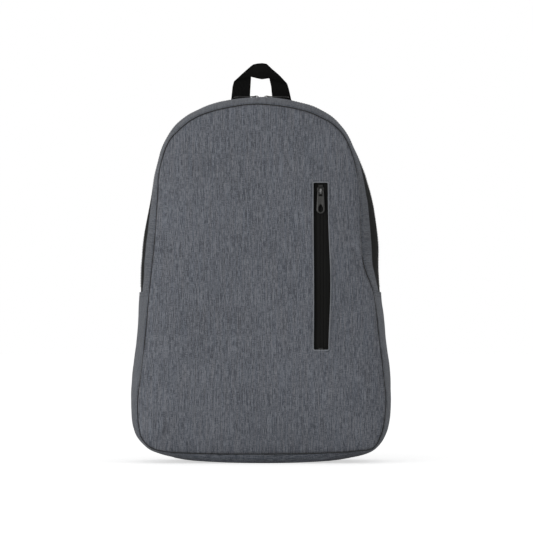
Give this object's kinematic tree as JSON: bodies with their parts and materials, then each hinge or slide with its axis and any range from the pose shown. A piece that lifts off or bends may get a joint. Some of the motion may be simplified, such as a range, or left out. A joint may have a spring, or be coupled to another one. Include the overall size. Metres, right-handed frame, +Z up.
{
  "type": "daypack",
  "caption": "Small fabric daypack with an arched main zip, a vertical front pocket zip, a top haul loop and two adjustable shoulder straps.",
  "frame": {"origin": "centre of the flat base, where the bag stands", "axes": "+Z up, -Y towards the front panel, +Y towards the shoulder straps, +X to the viewer's right when facing the front panel"},
  "size_m": [0.2992, 0.1729, 0.4598],
  "materials": {
    "heather_fabric": "heather blue-grey woven polyester",
    "welt_fabric": "folded edge of the same fabric",
    "lining_fabric": "plain dark lining",
    "zip_tape": "ribbed black tape",
    "zip_coil": "black nylon coil",
    "slider_metal": "gunmetal plating",
    "pull_metal": "satin gunmetal plating",
    "mesh_cloth": "black spacer mesh",
    "foam": "closed-cell foam inside the pads",
    "webbing": "flat black webbing",
    "buckle_plastic": "moulded black plastic"
  },
  "bodies": {
    "bag": {"adjuster_webbing_left": "webbing", "adjuster_webbing_right": "webbing", "back_foam_pad": "foam", "back_panel": "mesh_cloth", "back_seam_binding": "lining_fabric", "corner_tab_left": "webbing", "corner_tab_right": "webbing", "cross_seam_tape_left": "lining_fabric", "cross_seam_tape_right": "lining_fabric", "front_panel": "heather_fabric", "front_seam_binding": "lining_fabric", "haul_loop_end_left": "webbing", "haul_loop_end_right": "webbing", "ladder_lock_left": "buckle_plastic", "ladder_lock_right": "buckle_plastic", "lock_loop_left": "webbing", "lock_loop_right": "webbing", "lower_gusset": "heather_fabric", "main_zip_coil": "zip_coil", "main_zip_tape_back": "zip_tape", "main_zip_tape_front": "zip_tape", "pocket_pouch": "lining_fabric", "pocket_welt": "welt_fabric", "pocket_zip_bottom_stop": "slider_metal", "pocket_zip_coil": "zip_coil", "pocket_zip_tape_left": "zip_tape", "pocket_zip_tape_right": "zip_tape", "pocket_zip_top_stop": "slider_metal", "strap_foam_left": "foam", "strap_foam_right": "foam", "strap_mesh_left": "mesh_cloth", "strap_mesh_right": "mesh_cloth", "strap_shell_left": "heather_fabric", "strap_shell_right": "heather_fabric", "strap_yoke": "heather_fabric", "upper_gusset_back": "heather_fabric", "upper_gusset_front": "heather_fabric"},
    "pocket_slider": {"pocket_slider": "slider_metal"},
    "pocket_pull": {"pocket_pull": "pull_metal"},
    "main_slider_left": {"main_slider_left": "slider_metal"},
    "main_slider_right": {"main_slider_right": "slider_metal"},
    "main_pull_left": {"main_pull_left": "pull_metal"},
    "main_pull_right": {"main_pull_right": "pull_metal"},
    "haul_loop": {"haul_loop": "webbing"}
  },
  "joints": [
    {"name": "pocket_slide", "type": "slide", "parent": "bag", "child": "pocket_slider", "axis": [0, -0.0768, -0.997], "range_m": [0, 0.154]},
    {"name": "pocket_pull_hinge", "type": "hinge", "parent": "pocket_slider", "child": "pocket_pull", "pos_m": [0.0676, -0.04676, 0.31056], "axis": [-1, 0, 0], "range_deg": [0, 160]},
    {"name": "main_slide_left", "type": "hinge", "parent": "bag", "child": "main_slider_left", "pos_m": [0, 0.0142, 0.27], "axis": [0, -1, 0], "range_deg": [0, 38]},
    {"name": "main_slide_right", "type": "hinge", "parent": "bag", "child": "main_slider_right", "pos_m": [0, 0.0142, 0.27], "axis": [0, 1, 0], "range_deg": [0, 38]},
    {"name": "main_pull_hinge_left", "type": "hinge", "parent": "main_slider_left", "child": "main_pull_left", "pos_m": [-0.0064, 0.0142, 0.42267], "axis": [0, 1, 0], "range_deg": [0, 150]},
    {"name": "main_pull_hinge_right", "type": "hinge", "parent": "main_slider_right", "child": "main_pull_right", "pos_m": [0.0064, 0.0142, 0.42267], "axis": [0, -1, 0], "range_deg": [0, 150]},
    {"name": "haul_loop_flop", "type": "hinge", "parent": "bag", "child": "haul_loop", "pos_m": [0, 0.0595, 0.407], "axis": [1, 0, 0], "range_deg": [-145, 55]}
  ]
}
